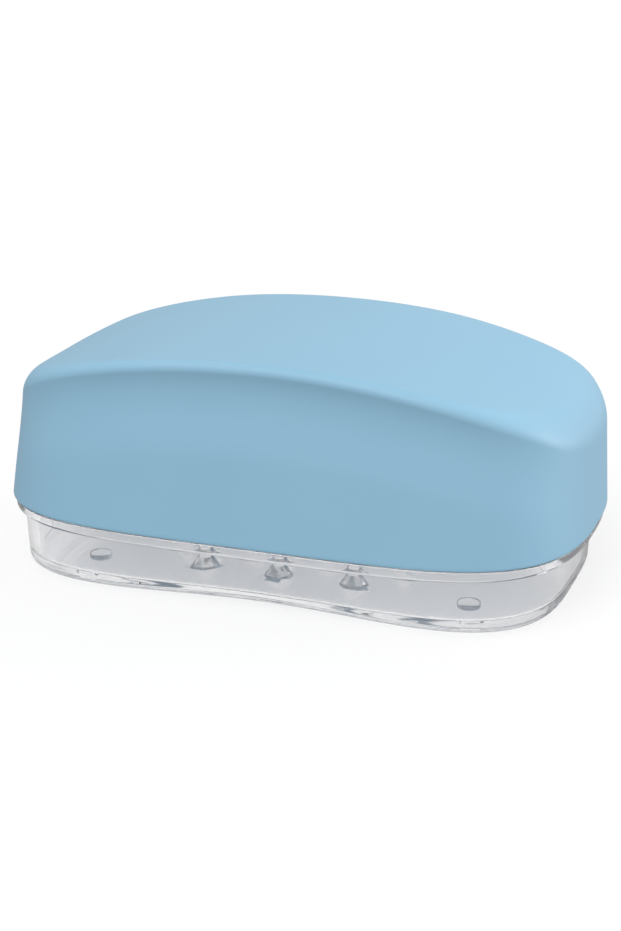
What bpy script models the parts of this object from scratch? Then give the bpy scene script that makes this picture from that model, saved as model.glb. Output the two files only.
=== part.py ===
"""Soap case in two mouldings: a clear tray and a deep opaque lid that lifts straight off it.

Frame: metres, +Z up, +X along the case, -Y the front, origin on the ground under the middle of the case.
The tray stands on four small moulded feet. Its floor carries rows of conical pegs that hold the soap clear
of the water, and its rim is a flange with an upstanding lip that the lid drops over.
"""

import math

import bmesh
import bpy
import numpy as np

# Lid, measured outside
LID_LENGTH = 0.130
LID_DEPTH = 0.0784
LID_RISE = 0.0381
LID_WALL = 0.0018
CROWN_END_FALL = 0.0146
CROWN_CROSS_FALL = 0.0003
CORNER_LIFT = 0.0070
BROW_RADIUS = 0.0020
END_RADIUS = 0.0066
BACK_RADIUS = 0.0150
LEAST_RADIUS = 0.0012
COVE_DEPTH = 0.0009
COVE_HEIGHT = 0.018
FRONT_LEAN = math.radians(7.8)
BACK_LEAN = math.radians(1.6)
LID_PLAN_POWERS = (4.6, 2.78)

# Tray, set in under the lid's outline
TRAY_INSET_LONG = 0.0037
TRAY_INSET_DEEP = 0.0020
TRAY_HEIGHT = 0.0148
TRAY_WALL = 0.0020
TRAY_FLOOR = 0.0027
TRAY_LEAN = math.radians(2.3)
TRAY_FILLET = 0.0020
INNER_FILLET = 0.0010
WAIST_DEPTH = 0.0051
WAIST_SPREAD = 0.0338
TRAY_PLAN_POWERS = (4.8, 3.45)

# Rim of the tray
FLANGE_HEIGHT = 0.0023
FLANGE_STEPBACK = 0.00065
FLANGE_EDGE = 0.0003
BEVEL_DEPTH = 0.0004
BEVEL_HEIGHT = 0.0006
SEAT_GAP = 0.0003
LIP_HEIGHT = 0.0030
LIP_WALL = 0.0015
LIP_CLEARANCE = 0.0004
LIP_EDGE = 0.0003

# Feet and pegs
FOOT_DIAMETER = 0.0050
FOOT_HEIGHT = 0.0012
FOOT_INSET_LONG = 0.0190
FOOT_INSET_DEEP = 0.0184
PEG_BASE_DIAMETER = 0.0054
PEG_TOP_DIAMETER = 0.0020
PEG_HEIGHT = 0.0034
PEG_PITCH_LONG = 0.0170
PEG_PITCH_DEEP = 0.0094
ROOT_DEPTH = 0.0006
PEGS_IN_MIDDLE_ROW = 5
PEG_ROWS_EACH_SIDE = 2

# Fineness of the meshes
AROUND = 64
DENSE = 4096
PEG_SIDES = 12
FOOT_SIDES = 16
SETTLING_PASSES = 5
SMOOTH_ANGLE = math.radians(35.0)

# Where the front face and the back face begin, and how far each takes to set in, as shares of the half depth
FRONT_START_SHARE = 0.37
FRONT_REACH_SHARE = 0.25
BACK_START_SHARE = 0.65
BACK_REACH_SHARE = 0.35

# Shares along the lid's wall, round its edge and across its crown, and round and across the tray's floor
WALL_SHARES = (0.0, 0.3, 0.5, 0.64, 0.76, 0.86, 0.94)
INNER_WALL_SHARES = (0.0, 0.4, 0.7)
EDGE_SHARES = (0.0, 0.2, 0.4, 0.6, 0.8, 1.0)
INNER_EDGE_SHARES = (0.0, 0.35, 0.7, 1.0)
CROWN_SHARES = (0.82, 0.6, 0.36, 0.15)
INNER_CROWN_SHARES = (0.75, 0.45, 0.18)
FILLET_SHARES = (0.0, 0.25, 0.5, 0.75, 1.0)
FLOOR_SHARES = (0.7, 0.35)
SQUARE_FALL_SHARE = 0.67
CROWN_PEAK_SHARE = -0.6
COVE_PEAK_SHARE = 4.0 / 27.0
COVE_FADE_SHARE = 0.4
BROW_FADE_POWER = 6

# Sizes and heights that follow from those above
TRAY_LENGTH = LID_LENGTH - 2.0 * TRAY_INSET_LONG
TRAY_DEPTH = LID_DEPTH - 2.0 * TRAY_INSET_DEEP
UNDERSIDE = FOOT_HEIGHT
FLOOR_TOP = UNDERSIDE + TRAY_FLOOR
FLANGE_TOP = UNDERSIDE + TRAY_HEIGHT
FLANGE_BOTTOM = FLANGE_TOP - FLANGE_HEIGHT
LID_SEAT = FLANGE_TOP + SEAT_GAP

BLUE = (0.325, 0.565, 0.724, 1.0)
CLEAR = (0.86, 0.88, 0.92, 1.0)


def smooth_step(value):
    """Eases 0 to 1 with level ends, and holds outside them."""
    u = np.clip(value, 0.0, 1.0)
    return u * u * (3.0 - 2.0 * u)


def plan_shares(powers):
    """Superellipse of unit half axes, |x|^m + |y|^n = 1, in points spaced evenly along its length."""
    turn = np.linspace(0.0, 2.0 * math.pi, DENSE + 1)
    x = np.sign(np.cos(turn)) * np.abs(np.cos(turn)) ** (2.0 / powers[0])
    y = np.sign(np.sin(turn)) * np.abs(np.sin(turn)) ** (2.0 / powers[1])
    along = np.concatenate([[0.0], np.cumsum(np.hypot(np.diff(x * LID_LENGTH), np.diff(y * LID_DEPTH)))])
    stops = np.linspace(0.0, along[-1], AROUND + 1)[:-1]
    return np.interp(stops, along, x), np.interp(stops, along, y)


LID_X, LID_Y = plan_shares(LID_PLAN_POWERS)
TRAY_X, TRAY_Y = plan_shares(TRAY_PLAN_POWERS)

# How far a point of the lid's outline belongs to the front face, and to the back
FRONTNESS = smooth_step((-LID_Y - FRONT_START_SHARE) / FRONT_REACH_SHARE)
BACKNESS = smooth_step((LID_Y - BACK_START_SHARE) / BACK_REACH_SHARE)
LEAN = FRONT_LEAN + (BACK_LEAN - FRONT_LEAN) * smooth_step((1.0 + LID_Y) / 2.0)

# How far the edge is a brow: all of it along the front, and less and less towards the corners
BROWNESS = FRONTNESS * (1.0 - LID_X**BROW_FADE_POWER)
# The cove's depth, which fades towards the ends, and the wall's tilt where the cove sets in under the edge
COVE = COVE_DEPTH * BROWNESS * (1.0 - COVE_FADE_SHARE * LID_X**2)
BROW_TILT = LEAN - np.arctan(COVE / (COVE_PEAK_SHARE * COVE_HEIGHT))


def stack(x, y, height):
    """One ring of points from its plan and its height."""
    return np.column_stack([x, y, np.broadcast_to(height, np.shape(x))])


def lid_plan(inset):
    """The lid's outline drawn in by an inset on both half axes."""
    return LID_X * (LID_LENGTH / 2.0 - inset), LID_Y * (LID_DEPTH / 2.0 - inset)


def crown_height(x, y, skin):
    """Height of the crown over the lid's lower edge: an arch along X, highest near the front across Y.

    The two front corners stand a little higher than the arch, by a lift of u^6 v^2.
    """
    u = 2.0 * x / LID_LENGTH
    v = 2.0 * y / LID_DEPTH
    arch = SQUARE_FALL_SHARE * u**2 + (1.0 - SQUARE_FALL_SHARE) * u**4
    lift = CORNER_LIFT * u**BROW_FADE_POWER * np.maximum(-v, 0.0) ** 2
    return LID_RISE - skin - CROWN_END_FALL * arch - CROWN_CROSS_FALL * (v - CROWN_PEAK_SHARE) ** 2 + lift


def lid_skin(skin, wall_shares, edge_shares, crown_shares):
    """Rings of one side of the lid's shell, from its lower edge to the crown, drawn in by skin.

    The wall leans in as it rises. Under the brow it runs in a shallow cove: with s the drop below the top of
    the wall as a share of the cove's height, the wall is drawn in by s (1 - s)^2, scaled to the cove's depth.
    The edge is an arc from the brow's tilt to level, and the rings of the crown shrink towards the middle.
    The top of the wall is found by passes, because the crown is lower the further out the wall stands.
    """
    radius = END_RADIUS + (BROW_RADIUS - END_RADIUS) * BROWNESS + (BACK_RADIUS - END_RADIUS) * BACKNESS
    radius = np.maximum(radius - skin, LEAST_RADIUS)
    rate = np.tan(LEAN)
    top = np.full(AROUND, LID_RISE - skin)
    for _ in range(SETTLING_PASSES):
        x, y = lid_plan(skin + rate * top)
        top = crown_height(x, y, skin) - radius * (1.0 - np.sin(BROW_TILT))
    rings = []
    for share in wall_shares:
        height = share * top
        s = np.clip((top - height) / COVE_HEIGHT, 0.0, 1.0)
        drawn_in = COVE * s * (1.0 - s) ** 2 / COVE_PEAK_SHARE
        rings.append(stack(*lid_plan(skin + rate * height + drawn_in), height))
    for share in edge_shares:
        angle = BROW_TILT + (math.pi / 2.0 - BROW_TILT) * share
        inset = skin + rate * top + radius * (np.cos(BROW_TILT) - np.cos(angle))
        x, y = lid_plan(inset)
        rings.append(stack(x, y, crown_height(x, y, skin) - radius * (1.0 - np.sin(angle))))
    for share in crown_shares:
        rings.append(stack(x * share, y * share, crown_height(x * share, y * share, skin)))
    return rings


def tray_ring(inset, height):
    """A ring of the tray's wall at a height, drawn in by an inset and by the wall's lean.

    The front is hollowed by a bell curve, which deepens evenly from the flange down to the underside.
    """
    lean = math.tan(TRAY_LEAN) * (FLANGE_TOP - height)
    x = TRAY_X * (TRAY_LENGTH / 2.0 - inset - lean)
    y = TRAY_Y * (TRAY_DEPTH / 2.0 - inset - lean)
    waist = WAIST_DEPTH * max((FLANGE_BOTTOM - height) / (FLANGE_BOTTOM - UNDERSIDE), 0.0)
    return stack(x, y + waist * np.exp(-((x / WAIST_SPREAD) ** 2)) * np.maximum(-TRAY_Y, 0.0), height)


def tray_side(skin, low, fillet):
    """Rings of one side of the tray's wall: from its floor's end, round the fillet and up to the flange."""
    rings = []
    for share in FILLET_SHARES:
        angle = share * math.pi / 2.0
        inset = skin + fillet * (1.0 - math.sin(angle))
        rings.append(tray_ring(inset, low + fillet * (1.0 - math.cos(angle))))
    rings.append(tray_ring(skin, FLANGE_BOTTOM))
    return rings


def flange_ring(edge, height):
    """A ring of the flange's outer edge, which follows the lid's outline."""
    return stack(*lid_plan(FLANGE_STEPBACK + edge), height)


def lip_ring(edge, rise):
    """A ring of the lip, which stands inside the lid's wall and leans with it."""
    inset = LID_WALL + LIP_CLEARANCE + edge + np.tan(LEAN) * rise
    return stack(*lid_plan(inset), FLANGE_TOP + rise)


def shrink(ring, shares):
    """Copies of a level ring drawn towards the middle of its floor."""
    return [stack(ring[:, 0] * share, ring[:, 1] * share, ring[0, 2]) for share in shares]


def new_object(name, mesh, collection, parent=None, location=(0.0, 0.0, 0.0)):
    obj = bpy.data.objects.new(name, mesh)
    obj.location = location
    obj.parent = parent
    collection.objects.link(obj)
    return obj


def loft(name, first, rings, last):
    """A closed skin over a stack of rings, with a fan of triangles to a middle point at each end."""
    points = np.concatenate([[first], *rings, [last]])
    faces = []
    here = np.arange(AROUND)
    there = (here + 1) % AROUND
    for k in range(len(rings) - 1):
        low = 1 + k * AROUND
        high = low + AROUND
        faces += [(low + a, low + b, high + b, high + a) for a, b in zip(here.tolist(), there.tolist())]
    final = len(points) - 1
    base = final - AROUND
    faces += [(0, 1 + b, 1 + a) for a, b in zip(here.tolist(), there.tolist())]
    faces += [(base + a, base + b, final) for a, b in zip(here.tolist(), there.tolist())]
    mesh = bpy.data.meshes.new(name)
    mesh.from_pydata(points.tolist(), [], faces)
    bm = bmesh.new()
    bm.from_mesh(mesh)
    bmesh.ops.recalc_face_normals(bm, faces=bm.faces)
    bm.to_mesh(mesh)
    bm.free()
    mesh.shade_smooth()
    mesh.set_sharp_from_angle(angle=SMOOTH_ANGLE)
    return mesh


def cone_group(name, places, low, high, low_diameter, high_diameter, sides):
    """A group of upright cones, one over each place in plan."""
    bm = bmesh.new()
    for x, y in places:
        made = bmesh.ops.create_cone(
            bm,
            cap_ends=True,
            segments=sides,
            radius1=low_diameter / 2.0,
            radius2=high_diameter / 2.0,
            depth=high - low,
        )
        bmesh.ops.translate(bm, verts=made["verts"], vec=(x, y, (low + high) / 2.0))
    mesh = bpy.data.meshes.new(name)
    bm.to_mesh(mesh)
    bm.free()
    return mesh


def peg_places():
    """Rows of pegs in a diamond pattern: each row away from the middle one has a peg less."""
    places = []
    for row in range(-PEG_ROWS_EACH_SIDE, PEG_ROWS_EACH_SIDE + 1):
        count = PEGS_IN_MIDDLE_ROW - abs(row)
        for k in range(count):
            places.append(((k - (count - 1) / 2.0) * PEG_PITCH_LONG, row * PEG_PITCH_DEEP))
    return places


def foot_places():
    """One foot near each corner, set in from the tray's ends and sides."""
    x = TRAY_LENGTH / 2.0 - FOOT_INSET_LONG
    y = TRAY_DEPTH / 2.0 - FOOT_INSET_DEEP
    return [(i * x, j * y) for i in (-1, 1) for j in (-1, 1)]


def plastic(name, colour, roughness, transmission):
    material = bpy.data.materials.new(name)
    material.use_nodes = True
    shader = material.node_tree.nodes["Principled BSDF"]
    shader.inputs["Base Color"].default_value = colour
    shader.inputs["Roughness"].default_value = roughness
    shader.inputs["Metallic"].default_value = 0.0
    shader.inputs["Transmission Weight"].default_value = transmission
    return material


def unite(obj, tool):
    """Joins a tool's solids to a piece and keeps the tool as a hidden guide."""
    tool.hide_render = True
    tool.display_type = "WIRE"
    modifier = obj.modifiers.new(tool.name, "BOOLEAN")
    modifier.operation = "UNION"
    modifier.solver = "EXACT"
    modifier.object = tool


def build_tray(parts, tools, parent):
    """Floor, wall, bevelled flange and lip as one loft, with the feet and the pegs joined on."""
    outside = tray_side(0.0, UNDERSIDE, TRAY_FILLET)
    inside = [*tray_side(TRAY_WALL, FLOOR_TOP, INNER_FILLET), tray_ring(TRAY_WALL, FLANGE_TOP)]
    rim = [
        flange_ring(BEVEL_DEPTH, FLANGE_BOTTOM),
        flange_ring(0.0, FLANGE_BOTTOM + BEVEL_HEIGHT),
        flange_ring(0.0, FLANGE_TOP - FLANGE_EDGE),
        flange_ring(FLANGE_EDGE, FLANGE_TOP),
        lip_ring(0.0, 0.0),
        lip_ring(0.0, LIP_HEIGHT - LIP_EDGE),
        lip_ring(LIP_EDGE, LIP_HEIGHT),
        lip_ring(LIP_WALL - LIP_EDGE, LIP_HEIGHT),
        lip_ring(LIP_WALL, LIP_HEIGHT - LIP_EDGE),
    ]
    foot_to_rim = shrink(outside[0], FLOOR_SHARES[::-1]) + outside + rim
    rim_to_floor = inside[::-1] + shrink(inside[0], FLOOR_SHARES)
    mesh = loft("tray", (0.0, 0.0, UNDERSIDE), foot_to_rim + rim_to_floor, (0.0, 0.0, FLOOR_TOP))
    tray = new_object("tray", mesh, parts, parent)
    tray.data.materials.append(plastic("clear_plastic", CLEAR, roughness=0.05, transmission=1.0))
    feet = cone_group(
        "feet_shape", foot_places(), 0.0, UNDERSIDE + ROOT_DEPTH, FOOT_DIAMETER, FOOT_DIAMETER, FOOT_SIDES
    )
    pegs = cone_group(
        "pegs_shape",
        peg_places(),
        FLOOR_TOP - ROOT_DEPTH,
        FLOOR_TOP + PEG_HEIGHT,
        PEG_BASE_DIAMETER,
        PEG_TOP_DIAMETER,
        PEG_SIDES,
    )
    unite(tray, new_object("feet_shape", feet, tools, parent))
    unite(tray, new_object("pegs_shape", pegs, tools, parent))
    return tray


def build_lid(parts, parent):
    """The lid's shell, with its origin in the middle of its lower edge, on the line it lifts along."""
    outside = lid_skin(0.0, WALL_SHARES, EDGE_SHARES, CROWN_SHARES)
    inside = lid_skin(LID_WALL, INNER_WALL_SHARES, INNER_EDGE_SHARES, INNER_CROWN_SHARES)
    top = (0.0, 0.0, crown_height(0.0, 0.0, 0.0))
    ceiling = (0.0, 0.0, crown_height(0.0, 0.0, LID_WALL))
    mesh = loft("lid", top, outside[::-1] + inside, ceiling)
    lid = new_object("lid", mesh, parts, parent, (0.0, 0.0, LID_SEAT))
    lid.data.materials.append(plastic("blue_plastic", BLUE, roughness=0.35, transmission=0.0))
    return lid


def main():
    for old in list(bpy.data.objects):
        bpy.data.objects.remove(old, do_unlink=True)
    parts = bpy.data.collections.new("soap_case")
    tools = bpy.data.collections.new("soap_case_tools")
    bpy.context.scene.collection.children.link(parts)
    bpy.context.scene.collection.children.link(tools)
    base = new_object("soap_case_origin", None, parts)
    build_tray(parts, tools, base)
    build_lid(parts, base)


main()
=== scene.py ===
import math

import bpy
import numpy as np
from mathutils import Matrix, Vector


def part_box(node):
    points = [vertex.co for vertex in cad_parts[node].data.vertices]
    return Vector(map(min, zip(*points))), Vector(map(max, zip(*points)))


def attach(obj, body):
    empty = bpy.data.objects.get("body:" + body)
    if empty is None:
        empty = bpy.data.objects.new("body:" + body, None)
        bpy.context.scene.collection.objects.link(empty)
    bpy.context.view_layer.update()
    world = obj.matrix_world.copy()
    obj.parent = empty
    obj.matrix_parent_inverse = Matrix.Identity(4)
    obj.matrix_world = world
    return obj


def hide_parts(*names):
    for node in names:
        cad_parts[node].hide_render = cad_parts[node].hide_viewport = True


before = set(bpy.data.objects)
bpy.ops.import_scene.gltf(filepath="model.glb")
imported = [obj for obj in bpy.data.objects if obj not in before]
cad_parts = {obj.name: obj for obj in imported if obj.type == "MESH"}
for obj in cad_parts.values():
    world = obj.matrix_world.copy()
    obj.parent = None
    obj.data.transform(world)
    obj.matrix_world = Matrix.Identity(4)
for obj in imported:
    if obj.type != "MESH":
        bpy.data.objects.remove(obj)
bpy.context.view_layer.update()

# Sizes are in millimetres here, and become metres when a mesh is made.
MM = 0.001

# The lid, from its solid: length, depth and rise, and the height of its lower edge
LID_LOW_CORNER, LID_HIGH_CORNER = (np.array(corner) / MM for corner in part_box("lid"))
LID_LENGTH, LID_DEPTH, LID_RISE = LID_HIGH_CORNER - LID_LOW_CORNER
LID_SEAT = LID_LOW_CORNER[2]
LID_WALL = 1.8
LID_PLAN_POWERS = (4.6, 2.78)
CROWN_END_FALL = 14.6
CROWN_CROSS_FALL = 0.3
CORNER_LIFT = 7.0
CROWN_PEAK_SHARE = -0.6
SQUARE_FALL_SHARE = 0.67
BROW_RADIUS = 2.0
END_RADIUS = 6.6
BACK_RADIUS = 15.0
LEAST_RADIUS = 1.2
COVE_DEPTH = 0.9
COVE_HEIGHT = 18.0
COVE_PEAK_SHARE = 4.0 / 27.0
COVE_FADE_SHARE = 0.4
BROW_FADE_POWER = 6
FRONT_LEAN = math.radians(7.8)
BACK_LEAN = math.radians(1.6)
FRONT_START_SHARE = 0.37
FRONT_REACH_SHARE = 0.25
BACK_START_SHARE = 0.65
BACK_REACH_SHARE = 0.35
EDGE_ROUND = 0.35

# The tray, set in under the lid's outline
LIP_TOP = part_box("tray")[1][2] / MM
TRAY_INSET_LONG = 3.7
TRAY_INSET_DEEP = 2.0
TRAY_WALL = 2.0
TRAY_FLOOR = 2.7
TRAY_LEAN = math.radians(2.3)
TRAY_FILLET = 2.0
INNER_FILLET = 1.0
TRAY_PLAN_POWERS = (4.8, 3.45)
WAIST_DEPTH = 5.1
WAIST_SPREAD = 33.8
LIP_HEIGHT = 3.0
LIP_WALL = 1.5
LIP_CLEARANCE = 0.4
LIP_ROUND = 0.4
FLANGE_HEIGHT = 2.3
FLANGE_STEPBACK = 0.65
FLANGE_ROUND = 0.35
BEVEL_ROUND = 0.1
BEVEL_HEIGHT = 0.65
BEVEL_TURN = math.radians(30.0)
ROOT_FILLET = 0.2
FOOT_DIAMETER = 5.0
FOOT_HEIGHT = 1.2
FOOT_ROUND = 0.3
FOOT_DOME = 0.12
FOOT_INSET_LONG = 19.0
FOOT_INSET_DEEP = 18.4
PEG_BASE_DIAMETER = 5.4
PEG_TOP_DIAMETER = 2.0
PEG_HEIGHT = 3.4
PEG_FLARE = 0.5
PEG_DOME = 0.7
PEG_SINK = 0.02
PEG_PITCH_LONG = 17.0
PEG_PITCH_DEEP = 9.4
ROOT_DEPTH = 0.6
PEGS_IN_MIDDLE_ROW = 5
PEG_ROWS_EACH_SIDE = 2

FLANGE_TOP = LIP_TOP - LIP_HEIGHT
FLANGE_BOTTOM = FLANGE_TOP - FLANGE_HEIGHT
UNDERSIDE = FOOT_HEIGHT
FLOOR_TOP = UNDERSIDE + TRAY_FLOOR
TRAY_LENGTH = LID_LENGTH - 2.0 * TRAY_INSET_LONG
TRAY_DEPTH = LID_DEPTH - 2.0 * TRAY_INSET_DEEP

# Fineness of the surfaces: points round an outline, rows along each part of a profile, and turned sides
AROUND = 400
DENSE = 16384
OUTER_LID_ROWS = {"wall_rows": 60, "edge_rows": 22, "crown_rows": 60}
INNER_LID_ROWS = {"wall_rows": 40, "edge_rows": 16, "crown_rows": 40}
FILLET_ROWS = 14
WALL_ROWS = 24
ROUND_ROWS = 7
SMALL_ROUND_ROWS = 6
BEVEL_ROUND_ROWS = 5
LIP_WALL_ROWS = 5
FLOOR_RINGS = 12
DOME_STEPS = 8
DOME_MIDDLE_SHARE = 0.1
PEG_SIDES = 40
FOOT_SIDES = 48
SETTLING_PASSES = 8
SMOOTH_ANGLE = math.radians(32.0)

# The photograph's camera: where the middle of the lid's lower edge falls in its frame, and its scale there
PHOTO_WIDE_PX, PHOTO_HIGH_PX = 621.0, 931.0
SEAT_MIDDLE_PX = (309.28, 488.79)
SCALE_PX_PER_MM = 4.495
CAMERA_DISTANCE = 450.0
CAMERA_AZIMUTH = math.radians(19.42)
CAMERA_ELEVATION = math.radians(20.0)
SENSOR = 36.0
CLIP_START = 0.01

# The room, in shares of white: as light from its left and its right, in mirrors, and the floor's own glow as
# light and as seen
ROOM_LEFT_SHARE = 0.37
ROOM_RIGHT_SHARE = 0.82
MIRROR_SHARE = 0.3
WHITE = (1.0, 1.0, 1.0, 1.0)
PAPER = (0.22, 0.22, 0.22, 1.0)
FLOOR_LIGHT_SHARE = 0.06
FLOOR_SEEN_SHARE = 0.78
FLOOR_HALF_WIDTH = 4.0

# Each lamp's azimuth to the right of the front, its elevation, its width in degrees and its share of white
KEY_LAMP = (-8.0, 50.0, 40.0, 0.51)
RIGHT_LAMP = (120.0, 6.0, 30.0, 0.51)

# Light is turned back inside clear plastic many times, and each turn counts as a bounce.
MOST_BOUNCES = 32
GLOSSY_BOUNCES = 24


def smooth_step(value):
    """Eases 0 to 1 with level ends, and holds outside them: 3u^2 - 2u^3."""
    u = np.clip(value, 0.0, 1.0)
    return u * u * (3.0 - 2.0 * u)


def unit_outline(powers):
    """Superellipse of unit half axes, |x|^m + |y|^n = 1, in points spaced evenly along the lid's outline."""
    turn = np.linspace(0.0, 2.0 * math.pi, DENSE + 1)
    x = np.sign(np.cos(turn)) * np.abs(np.cos(turn)) ** (2.0 / powers[0])
    y = np.sign(np.sin(turn)) * np.abs(np.sin(turn)) ** (2.0 / powers[1])
    steps = np.hypot(np.diff(x * LID_LENGTH), np.diff(y * LID_DEPTH))
    along = np.concatenate([[0.0], np.cumsum(steps)])
    stops = np.linspace(0.0, along[-1], AROUND + 1)[:-1]
    return np.interp(stops, along, x), np.interp(stops, along, y)


LID_X, LID_Y = unit_outline(LID_PLAN_POWERS)
TRAY_X, TRAY_Y = unit_outline(TRAY_PLAN_POWERS)
FRONTNESS = smooth_step((-LID_Y - FRONT_START_SHARE) / FRONT_REACH_SHARE)
BACKNESS = smooth_step((LID_Y - BACK_START_SHARE) / BACK_REACH_SHARE)
LEAN = FRONT_LEAN + (BACK_LEAN - FRONT_LEAN) * smooth_step((1.0 + LID_Y) / 2.0)
# How far the edge is a brow: all of it along the front, and less and less towards the corners
BROWNESS = FRONTNESS * (1.0 - LID_X**BROW_FADE_POWER)
# The cove's depth, which fades towards the ends, and the wall's tilt where the cove sets in under the edge
COVE = COVE_DEPTH * BROWNESS * (1.0 - COVE_FADE_SHARE * LID_X**2)
BROW_TILT = LEAN - np.arctan(COVE / (COVE_PEAK_SHARE * COVE_HEIGHT))


def column(low, high, count):
    """Evenly spaced shares as a column, so that a formula makes one row of the grid for each."""
    return np.linspace(low, high, count)[:, None]


def grid(x, y, z):
    """Stacks the coordinates of a grid of rows and columns into points."""
    return np.stack(np.broadcast_arrays(x, y, z), axis=-1)


def lid_plan(inset):
    """The lid's outline drawn in by an inset on both half axes."""
    return LID_X * (LID_LENGTH / 2.0 - inset), LID_Y * (LID_DEPTH / 2.0 - inset)


def crown_height(x, y, skin):
    """Arch along X that falls by a share of u^2 and the rest of u^4, barely domed along Y by (v - peak)^2.

    The two front corners stand a little higher, by a lift of u^6 v^2.
    """
    u = 2.0 * x / LID_LENGTH
    v = 2.0 * y / LID_DEPTH
    arch = SQUARE_FALL_SHARE * u**2 + (1.0 - SQUARE_FALL_SHARE) * u**4
    lift = CORNER_LIFT * u**BROW_FADE_POWER * np.maximum(-v, 0.0) ** 2
    return LID_RISE - skin - CROWN_END_FALL * arch - CROWN_CROSS_FALL * (v - CROWN_PEAK_SHARE) ** 2 + lift


def lid_side(skin, low, wall_rows, edge_rows, crown_rows):
    """Grid of one side of the lid's shell from its lower edge to near the middle of its crown.

    The wall is a straight line leaning in by the tangent of the lean, less a shallow cove of s (1 - s)^2
    under the brow, where s is the drop below the wall's top as a share of the cove's height. The edge is an
    arc of the corner's own radius from the brow's tilt to level, and the crown's rows shrink in even shares.
    """
    radius = END_RADIUS + (BROW_RADIUS - END_RADIUS) * BROWNESS + (BACK_RADIUS - END_RADIUS) * BACKNESS
    radius = np.maximum(radius - skin, LEAST_RADIUS)
    rate = np.tan(LEAN)
    top = np.full(AROUND, LID_RISE - skin)
    for _ in range(SETTLING_PASSES):
        x, y = lid_plan(skin + rate * top)
        top = crown_height(x, y, skin) - radius * (1.0 - np.sin(BROW_TILT))
    height = low + (top - low) * column(0.0, 1.0, wall_rows)
    s = np.clip((top - height) / COVE_HEIGHT, 0.0, 1.0)
    drawn_in = COVE * s * (1.0 - s) ** 2 / COVE_PEAK_SHARE
    wall = grid(*lid_plan(skin + rate * height + drawn_in), height)
    angle = BROW_TILT + (math.pi / 2.0 - BROW_TILT) * column(0.0, 1.0, edge_rows)[1:]
    inset = skin + rate * top + radius * (np.cos(BROW_TILT) - np.cos(angle))
    x, y = lid_plan(inset)
    edge = grid(x, y, crown_height(x, y, skin) - radius * (1.0 - np.sin(angle)))
    share = column(1.0, 0.0, crown_rows)[1:-1]
    x, y = edge[-1, :, 0] * share, edge[-1, :, 1] * share
    crown = grid(x, y, crown_height(x, y, skin))
    return np.concatenate([wall, edge, crown])


def arc_rows(count, start, end):
    """Cosine and sine of even steps of a turn, as columns: the rows of a rounded edge."""
    angle = column(math.radians(start), math.radians(end), count)
    return np.cos(angle), np.sin(angle)


def skin_object(name, rows, first, last):
    """One closed surface: the grid's columns join round, and each end closes on a middle point."""
    points = np.concatenate([[first], rows.reshape(-1, 3), [last]]) * MM
    count = len(rows)
    start = 1 + np.arange(count - 1)[:, None] * AROUND
    here = np.arange(AROUND)
    there = (here + 1) % AROUND
    quads = np.stack([start + here, start + there, start + there + AROUND, start + here + AROUND], axis=-1)
    last_row = 1 + (count - 1) * AROUND
    start_fan = np.stack([np.zeros(AROUND, int), 1 + there, 1 + here], axis=-1)
    end_fan = np.stack([last_row + here, last_row + there, np.full(AROUND, len(points) - 1)], axis=-1)
    faces = quads.reshape(-1, 4).tolist() + start_fan.tolist() + end_fan.tolist()
    mesh = bpy.data.meshes.new(name)
    mesh.from_pydata(points.tolist(), [], faces)
    mesh.shade_smooth()
    mesh.set_sharp_from_angle(angle=SMOOTH_ANGLE)
    piece = bpy.data.objects.new(name, mesh)
    bpy.context.scene.collection.objects.link(piece)
    return piece


def make_lid():
    """The lid's shell: its outer side run down to the lower edge, round it, and its inner side run up."""
    outer = lid_side(0.0, EDGE_ROUND, **OUTER_LID_ROWS)[::-1]
    inner = lid_side(LID_WALL, EDGE_ROUND, **INNER_LID_ROWS)
    cos, sin = arc_rows(ROUND_ROWS, 0.0, -90.0)
    inset = EDGE_ROUND * (1.0 - cos) + np.tan(LEAN) * EDGE_ROUND
    outer_round = grid(*lid_plan(inset), EDGE_ROUND * (1.0 + sin))
    cos, sin = arc_rows(ROUND_ROWS, -90.0, 0.0)
    inset = LID_WALL - EDGE_ROUND * (1.0 - cos) + np.tan(LEAN) * EDGE_ROUND
    inner_round = grid(*lid_plan(inset), EDGE_ROUND * (1.0 + sin))
    rows = np.concatenate([outer, outer_round[1:], inner_round[:-1], inner])
    rows[..., 2] += LID_SEAT
    top = LID_SEAT + crown_height(0.0, 0.0, 0.0)
    return skin_object("lid_shell", rows, (0.0, 0.0, top), (0.0, 0.0, top - LID_WALL))


def tray_plan(inset, height):
    """The tray's outline drawn in by an inset and by the wall's lean.

    The front is hollowed by a bell curve exp(-(x/spread)^2), which deepens evenly from the flange to the
    underside.
    """
    lean = math.tan(TRAY_LEAN) * (FLANGE_TOP - height)
    x = TRAY_X * (TRAY_LENGTH / 2.0 - inset - lean)
    y = TRAY_Y * (TRAY_DEPTH / 2.0 - inset - lean)
    waist = WAIST_DEPTH * np.clip((FLANGE_BOTTOM - height) / (FLANGE_BOTTOM - UNDERSIDE), 0.0, 1.0)
    return x, y + waist * np.exp(-((x / WAIST_SPREAD) ** 2)) * np.maximum(-TRAY_Y, 0.0)


def tray_side(skin, low, high, fillet):
    """Grid of one side of the tray's wall: a quarter circle off the floor and the leaning wall above it."""
    cos, sin = arc_rows(FILLET_ROWS, 0.0, 90.0)
    height = low + fillet * (1.0 - cos)
    corner = grid(*tray_plan(skin + fillet * (1.0 - sin), height), height)
    height = low + fillet + (high - low - fillet) * column(0.0, 1.0, WALL_ROWS)[1:]
    return np.concatenate([corner, grid(*tray_plan(skin, height), height)])


def flange_rows(inset, height):
    """Rows of the flange's outer edge, which follows the lid's outline."""
    return grid(*lid_plan(FLANGE_STEPBACK + inset), height)


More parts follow.
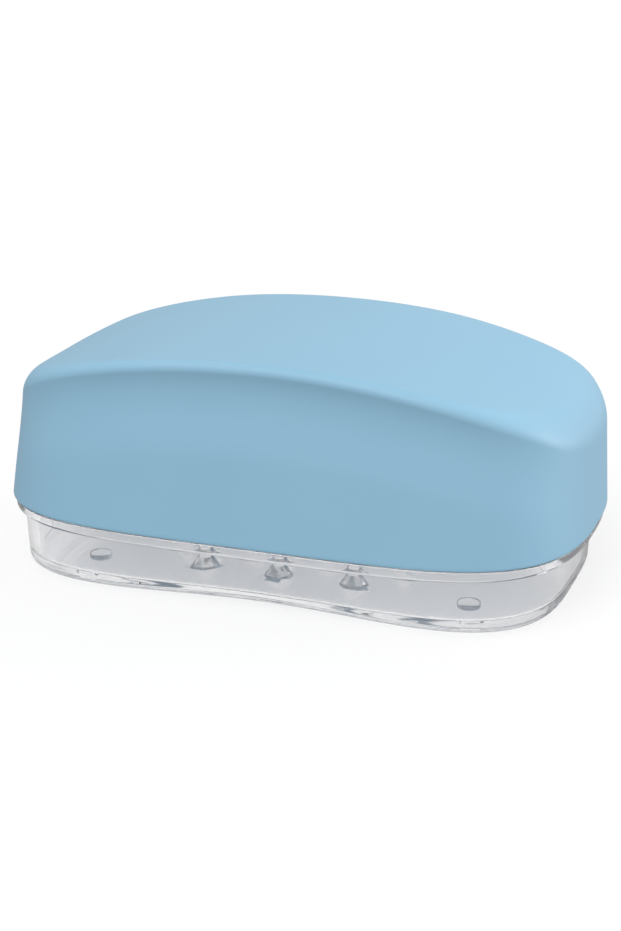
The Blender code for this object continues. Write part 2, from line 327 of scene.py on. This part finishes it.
def bevel_rows():
    """Rows up the flange's lower edge: a round, a bevel that faces down by its turn, and a smaller round.

    The lower round's middle is set in so far that the bevel's straight line touches both rounds.
    """
    turn = math.degrees(BEVEL_TURN)
    cos, sin = arc_rows(ROUND_ROWS, -90.0, -turn)
    line = BEVEL_HEIGHT - FLANGE_ROUND + (FLANGE_ROUND - BEVEL_ROUND) * math.sin(BEVEL_TURN)
    inset = math.tan(BEVEL_TURN) * line + BEVEL_ROUND
    inset += (FLANGE_ROUND - BEVEL_ROUND) * math.cos(BEVEL_TURN)
    low = flange_rows(inset - FLANGE_ROUND * cos, FLANGE_BOTTOM + FLANGE_ROUND * (1.0 + sin))
    cos, sin = arc_rows(BEVEL_ROUND_ROWS, -turn, 0.0)
    high = flange_rows(BEVEL_ROUND * (1.0 - cos), FLANGE_BOTTOM + BEVEL_HEIGHT + BEVEL_ROUND * sin)
    return np.concatenate([low, high])


def lip_rows(inset, rise):
    """Rows of the lip, which stands inside the lid's wall and leans with it."""
    return grid(*lid_plan(LID_WALL + LIP_CLEARANCE + inset + np.tan(LEAN) * rise), FLANGE_TOP + rise)


def floor_rows(ring, count):
    """A level floor: copies of the ring round it, drawn in even shares to the middle."""
    share = column(1.0, 0.0, count)[1:-1]
    return grid(ring[:, 0] * share, ring[:, 1] * share, ring[0, 2])


def make_tray_shell():
    """Floor, wall, flange and lip in one closed surface, from under the floor round to its top."""
    outside = tray_side(0.0, UNDERSIDE, FLANGE_BOTTOM - ROOT_FILLET, TRAY_FILLET)
    cos, sin = arc_rows(SMALL_ROUND_ROWS, 180.0, 90.0)
    height = FLANGE_BOTTOM - ROOT_FILLET * (1.0 - sin)
    root = grid(*tray_plan(-ROOT_FILLET * (1.0 + cos), height), height)
    under = bevel_rows()
    cos, sin = arc_rows(ROUND_ROWS, 0.0, 90.0)
    over = flange_rows(FLANGE_ROUND * (1.0 - cos), FLANGE_TOP - FLANGE_ROUND * (1.0 - sin))
    lip_wall = lip_rows(0.0, (LIP_HEIGHT - LIP_ROUND) * column(0.0, 1.0, LIP_WALL_ROWS))
    cos, sin = arc_rows(SMALL_ROUND_ROWS, 0.0, 90.0)
    lip_over = lip_rows(LIP_ROUND * (1.0 - cos), LIP_HEIGHT - LIP_ROUND * (1.0 - sin))
    cos, sin = arc_rows(SMALL_ROUND_ROWS, 90.0, 180.0)
    lip_back = lip_rows(LIP_WALL - LIP_ROUND * (1.0 + cos), LIP_HEIGHT - LIP_ROUND * (1.0 - sin))
    lip_foot = lip_rows(LIP_WALL, (LIP_HEIGHT - LIP_ROUND) * column(1.0, 0.0, LIP_WALL_ROWS))
    inside = tray_side(TRAY_WALL, FLOOR_TOP, FLANGE_TOP, INNER_FILLET)
    rows = np.concatenate([
        floor_rows(outside[0], FLOOR_RINGS)[::-1], outside, root[1:], under, over,
        lip_wall, lip_over[1:], lip_back, lip_foot[1:],
        inside[::-1], floor_rows(inside[0], FLOOR_RINGS),
    ])
    return skin_object("tray_shell", rows, (0.0, 0.0, UNDERSIDE), (0.0, 0.0, FLOOR_TOP))


def peg_places():
    """Rows of pegs in a diamond pattern: each row away from the middle one has a peg less."""
    return [
        ((k - (count - 1) / 2.0) * PEG_PITCH_LONG, row * PEG_PITCH_DEEP)
        for row in range(-PEG_ROWS_EACH_SIDE, PEG_ROWS_EACH_SIDE + 1)
        for count in [PEGS_IN_MIDDLE_ROW - abs(row)]
        for k in range(count)
    ]


def foot_places():
    """One foot near each corner, set in from the tray's ends and sides."""
    x = TRAY_LENGTH / 2.0 - FOOT_INSET_LONG
    y = TRAY_DEPTH / 2.0 - FOOT_INSET_DEEP
    return [(i * x, j * y) for i in (-1, 1) for j in (-1, 1)]


def peg_profile():
    """Radius and height up a peg: a sunk root, a flare that eases off the floor, a cone and a domed tip."""
    foot, tip = PEG_BASE_DIAMETER / 2.0, PEG_TOP_DIAMETER / 2.0
    slope = math.atan2(foot - tip, PEG_HEIGHT)
    flare = np.linspace(0.0, 1.0, SMALL_ROUND_ROWS)
    dome = np.linspace(slope, math.pi / 2.0, ROUND_ROWS)
    cone_top = PEG_HEIGHT - PEG_DOME * (1.0 - math.sin(slope))
    radius = np.concatenate([
        [foot + PEG_FLARE], foot + PEG_FLARE * (1.0 - flare) ** 2,
        tip + PEG_DOME * (np.cos(dome) - math.cos(slope)),
    ])
    height = np.concatenate([
        [-ROOT_DEPTH], PEG_FLARE * flare - PEG_SINK,
        cone_top + PEG_DOME * (np.sin(dome) - math.sin(slope)),
    ])
    return radius, height


def foot_profile():
    """Radius and height down a foot: a sunk root, a side, a rounded lower edge and a faint dome r^2."""
    turn = np.linspace(0.0, math.pi / 2.0, SMALL_ROUND_ROWS)
    dome = np.linspace(1.0, DOME_MIDDLE_SHARE, DOME_STEPS)
    face = FOOT_DIAMETER / 2.0 - FOOT_ROUND
    radius = np.concatenate([[FOOT_DIAMETER / 2.0], face + FOOT_ROUND * np.cos(turn), face * dome[1:]])
    height = np.concatenate([
        [UNDERSIDE + ROOT_DEPTH], FOOT_DOME + FOOT_ROUND * (1.0 - np.sin(turn)), FOOT_DOME * dome[1:] ** 2
    ])
    return radius, height


def turned_group(name, places, profile, base, sides):
    """Copies of one turned shape: the profile's radius carried round a circle, closed at each end."""
    radius, height = profile
    if height[-1] > height[0]:
        radius, height = radius[::-1], height[::-1]
    turn = np.linspace(0.0, 2.0 * math.pi, sides, endpoint=False)
    one = grid(radius[:, None] * np.cos(turn), radius[:, None] * np.sin(turn), base + height[:, None])
    one = one.reshape(-1, 3)
    count = len(radius)
    start = np.arange(count - 1)[:, None] * sides
    here = np.arange(sides)
    there = (here + 1) % sides
    quads = np.stack([start + here, start + here + sides, start + there + sides, start + there], axis=-1)
    faces = quads.reshape(-1, 4).tolist()
    faces += [here.tolist(), ((count - 1) * sides + here[::-1]).tolist()]
    points, all_faces = [], []
    for k, (x, y) in enumerate(places):
        points.append(one + (x, y, 0.0))
        all_faces += [[v + k * len(one) for v in face] for face in faces]
    mesh = bpy.data.meshes.new(name)
    mesh.from_pydata((np.concatenate(points) * MM).tolist(), [], all_faces)
    piece = bpy.data.objects.new(name, mesh)
    bpy.context.scene.collection.objects.link(piece)
    return piece


def join_on(piece, tool):
    """Joins the tool's solids to the piece's own, and removes the tool."""
    modifier = piece.modifiers.new(tool.name, "BOOLEAN")
    modifier.operation = "UNION"
    modifier.solver = "EXACT"
    modifier.object = tool
    made = piece.evaluated_get(bpy.context.evaluated_depsgraph_get())
    mesh = bpy.data.meshes.new_from_object(made)
    piece.modifiers.clear()
    piece.data = mesh
    bpy.data.objects.remove(tool, do_unlink=True)


def make_tray():
    """The tray's shell with its pegs and feet joined on."""
    tray = make_tray_shell()
    join_on(tray, turned_group("pegs", peg_places(), peg_profile(), FLOOR_TOP, PEG_SIDES))
    join_on(tray, turned_group("feet", foot_places(), foot_profile(), 0.0, FOOT_SIDES))
    tray.data.shade_smooth()
    tray.data.set_sharp_from_angle(angle=SMOOTH_ANGLE)
    return tray


def linear(code):
    """A colour socket's value from an sRGB hex code."""
    shares = [int(code[k : k + 2], 16) / 255.0 for k in (1, 3, 5)]
    return [c / 12.92 if c <= 0.04045 else ((c + 0.055) / 1.055) ** 2.4 for c in shares] + [1.0]


def add(tree, kind, inputs=(), **settings):
    """Adds a node with its settings; inputs gives each socket a value, or the output that feeds it."""
    node = tree.nodes.new(kind)
    for name, value in settings.items():
        setattr(node, name, value)
    for socket, value in dict(inputs).items():
        if isinstance(value, bpy.types.NodeSocket):
            tree.links.new(value, node.inputs[socket])
        else:
            node.inputs[socket].default_value = value
    return node


def new_material(name):
    """An empty material and its node tree."""
    material = bpy.data.materials.new(name)
    material.use_nodes = True
    material.node_tree.nodes.clear()
    return material, material.node_tree


def satin_polypropylene():
    """Opaque polypropylene from a finely textured mould: an even body colour and a broad, low sheen."""
    material, tree = new_material("satin_polypropylene")
    place = add(tree, "ShaderNodeTexCoord").outputs["Object"]
    # Pigment drifts a little as the melt flows, in clouds some 30 mm across.
    drift = add(tree, "ShaderNodeTexNoise", {"Vector": place, "Scale": 33.0, "Detail": 2.0}).outputs["Fac"]
    colour = add(
        tree, "ShaderNodeMix", {0: drift, 6: linear("#92BFD9"), 7: linear("#97C3DC")}, data_type="RGBA"
    ).outputs[2]
    # The mould's fine texture is about 0.1 mm, drawn at 0.5 mm so that it shows at all.
    grain = add(
        tree, "ShaderNodeTexNoise", {"Vector": place, "Scale": 2000.0, "Detail": 1.0}
    ).outputs["Fac"]
    rough = add(
        tree, "ShaderNodeMapRange", {"Value": grain, "To Min": 0.42, "To Max": 0.50}
    ).outputs["Result"]
    bump = add(
        tree, "ShaderNodeBump", {"Height": grain, "Strength": 0.25, "Distance": 0.00002}
    ).outputs["Normal"]
    shader = add(
        tree, "ShaderNodeBsdfPrincipled",
        {"Base Color": colour, "Roughness": rough, "Normal": bump, "IOR": 1.49, "Specular IOR Level": 0.3},
    )
    add(tree, "ShaderNodeOutputMaterial", {"Surface": shader.outputs["BSDF"]})
    return material


def clear_polystyrene():
    """Clear polystyrene from a polished mould.

    It bends what is behind it, mirrors the room at its edges and lets the lamps through to the inside.
    """
    material, tree = new_material("clear_polystyrene")
    place = add(tree, "ShaderNodeTexCoord").outputs["Object"]
    # Shrinkage leaves the polished faces with a ripple some 8 mm long.
    ripple = add(
        tree, "ShaderNodeTexNoise", {"Vector": place, "Scale": 120.0, "Detail": 1.0}
    ).outputs["Fac"]
    bump = add(
        tree, "ShaderNodeBump", {"Height": ripple, "Strength": 0.08, "Distance": 0.0002}
    ).outputs["Normal"]
    body = {"Base Color": linear("#F5F5F6"), "Roughness": 0.03, "Transmission Weight": 0.95}
    shader = add(tree, "ShaderNodeBsdfPrincipled", {**body, "Normal": bump, "IOR": 1.55})
    through = add(tree, "ShaderNodeBsdfTransparent", {"Color": linear("#F2F2F4")})
    lamp_ray = add(tree, "ShaderNodeLightPath").outputs["Is Shadow Ray"]
    both = add(
        tree, "ShaderNodeMixShader", {0: lamp_ray, 1: shader.outputs["BSDF"], 2: through.outputs["BSDF"]}
    )
    add(tree, "ShaderNodeOutputMaterial", {"Surface": both.outputs["Shader"]})
    return material


def seen_share(tree):
    """1 for what the camera sees, also through something clear, a share for mirrors and 0 for light."""
    path = add(tree, "ShaderNodeLightPath").outputs
    mirrored = add(
        tree, "ShaderNodeMath", {0: path["Is Glossy Ray"], 1: MIRROR_SHARE}, operation="MULTIPLY"
    ).outputs[0]
    straight = add(
        tree, "ShaderNodeMath", {0: path["Is Camera Ray"], 1: mirrored}, operation="MAXIMUM"
    ).outputs[0]
    return add(
        tree, "ShaderNodeMath", {0: straight, 1: path["Is Transmission Ray"]}, operation="MAXIMUM"
    ).outputs[0]


def make_floor():
    """A plain pale floor. What the camera sees of it is lifted to white, and it keeps the case's shadow."""
    mesh = bpy.data.meshes.new("floor")
    half = FLOOR_HALF_WIDTH
    corners = [(-half, -half, 0.0), (half, -half, 0.0), (half, half, 0.0), (-half, half, 0.0)]
    mesh.from_pydata(corners, [], [(0, 1, 2, 3)])
    floor = bpy.data.objects.new("floor", mesh)
    bpy.context.scene.collection.objects.link(floor)
    material, tree = new_material("white_paper")
    paper = add(tree, "ShaderNodeBsdfDiffuse", {"Color": PAPER})
    lift = add(
        tree, "ShaderNodeMapRange",
        {"Value": seen_share(tree), "To Min": FLOOR_LIGHT_SHARE, "To Max": FLOOR_SEEN_SHARE},
    )
    glow = add(tree, "ShaderNodeEmission", {"Strength": lift.outputs["Result"]})
    both = add(tree, "ShaderNodeAddShader", {0: paper.outputs[0], 1: glow.outputs[0]})
    add(tree, "ShaderNodeOutputMaterial", {"Surface": both.outputs[0]})
    mesh.materials.append(material)


def make_world():
    """A white room, brighter to its right than to its left, and full white where the camera sees it."""
    world = bpy.data.worlds.new("white_room")
    bpy.context.scene.world = world
    world.use_nodes = True
    tree = world.node_tree
    tree.nodes.clear()
    direction = add(tree, "ShaderNodeTexCoord").outputs["Generated"]
    right = add(tree, "ShaderNodeSeparateXYZ", {"Vector": direction}).outputs["X"]
    light = add(
        tree, "ShaderNodeMapRange",
        {"Value": right, "From Min": -1.0, "To Min": ROOM_LEFT_SHARE, "To Max": ROOM_RIGHT_SHARE},
    ).outputs["Result"]
    strength = add(tree, "ShaderNodeMapRange", {"Value": seen_share(tree), "To Min": light, "To Max": 1.0})
    back = add(tree, "ShaderNodeBackground", {"Color": WHITE, "Strength": strength.outputs["Result"]})
    add(tree, "ShaderNodeOutputWorld", {"Surface": back.outputs[0]})


def towards(azimuth, elevation):
    """The direction to what stands to the right of the front by an azimuth, at an elevation."""
    level = math.cos(elevation)
    return Vector((math.sin(azimuth) * level, -math.cos(azimuth) * level, math.sin(elevation)))


def add_sky_lamp(name, azimuth, elevation, width, share):
    """A broad, far lamp, seen from the case as a disc of a width in degrees.

    It lights a white face turned to it to a share of white.
    """
    lamp = bpy.data.lights.new(name, "SUN")
    lamp.angle = math.radians(width)
    lamp.energy = share * math.pi
    disc = bpy.data.objects.new(name, lamp)
    direction = towards(math.radians(azimuth), math.radians(elevation))
    disc.rotation_euler = direction.to_track_quat("Z", "Y").to_euler()
    bpy.context.scene.collection.objects.link(disc)


def make_camera():
    """The photograph's view: a lens that gives its scale at the case, shifted to its framing."""
    data = bpy.data.cameras.new("camera")
    data.sensor_width = SENSOR
    data.lens = SCALE_PX_PER_MM * CAMERA_DISTANCE / PHOTO_HIGH_PX * SENSOR
    data.shift_x = (PHOTO_WIDE_PX / 2.0 - SEAT_MIDDLE_PX[0]) / PHOTO_HIGH_PX
    data.shift_y = (SEAT_MIDDLE_PX[1] - PHOTO_HIGH_PX / 2.0) / PHOTO_HIGH_PX
    data.clip_start = CLIP_START
    camera = bpy.data.objects.new("camera", data)
    back = towards(CAMERA_AZIMUTH, CAMERA_ELEVATION)
    camera.location = (Vector((0.0, 0.0, LID_SEAT)) + back * CAMERA_DISTANCE) * MM
    camera.rotation_euler = (-back).to_track_quat("-Z", "Y").to_euler()
    bpy.context.scene.collection.objects.link(camera)
    bpy.context.scene.camera = camera


lid = make_lid()
lid.data.materials.append(satin_polypropylene())
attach(lid, "lid")
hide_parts("lid")

tray = make_tray()
tray.data.materials.clear()
tray.data.materials.append(clear_polystyrene())
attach(tray, "tray")
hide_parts("tray")

make_floor()
make_world()
add_sky_lamp("key_lamp", *KEY_LAMP)
add_sky_lamp("right_lamp", *RIGHT_LAMP)
make_camera()
bpy.context.scene.view_settings.view_transform = "Standard"
cycles = bpy.context.scene.cycles
cycles.max_bounces = MOST_BOUNCES
cycles.glossy_bounces = GLOSSY_BOUNCES
cycles.transmission_bounces = MOST_BOUNCES
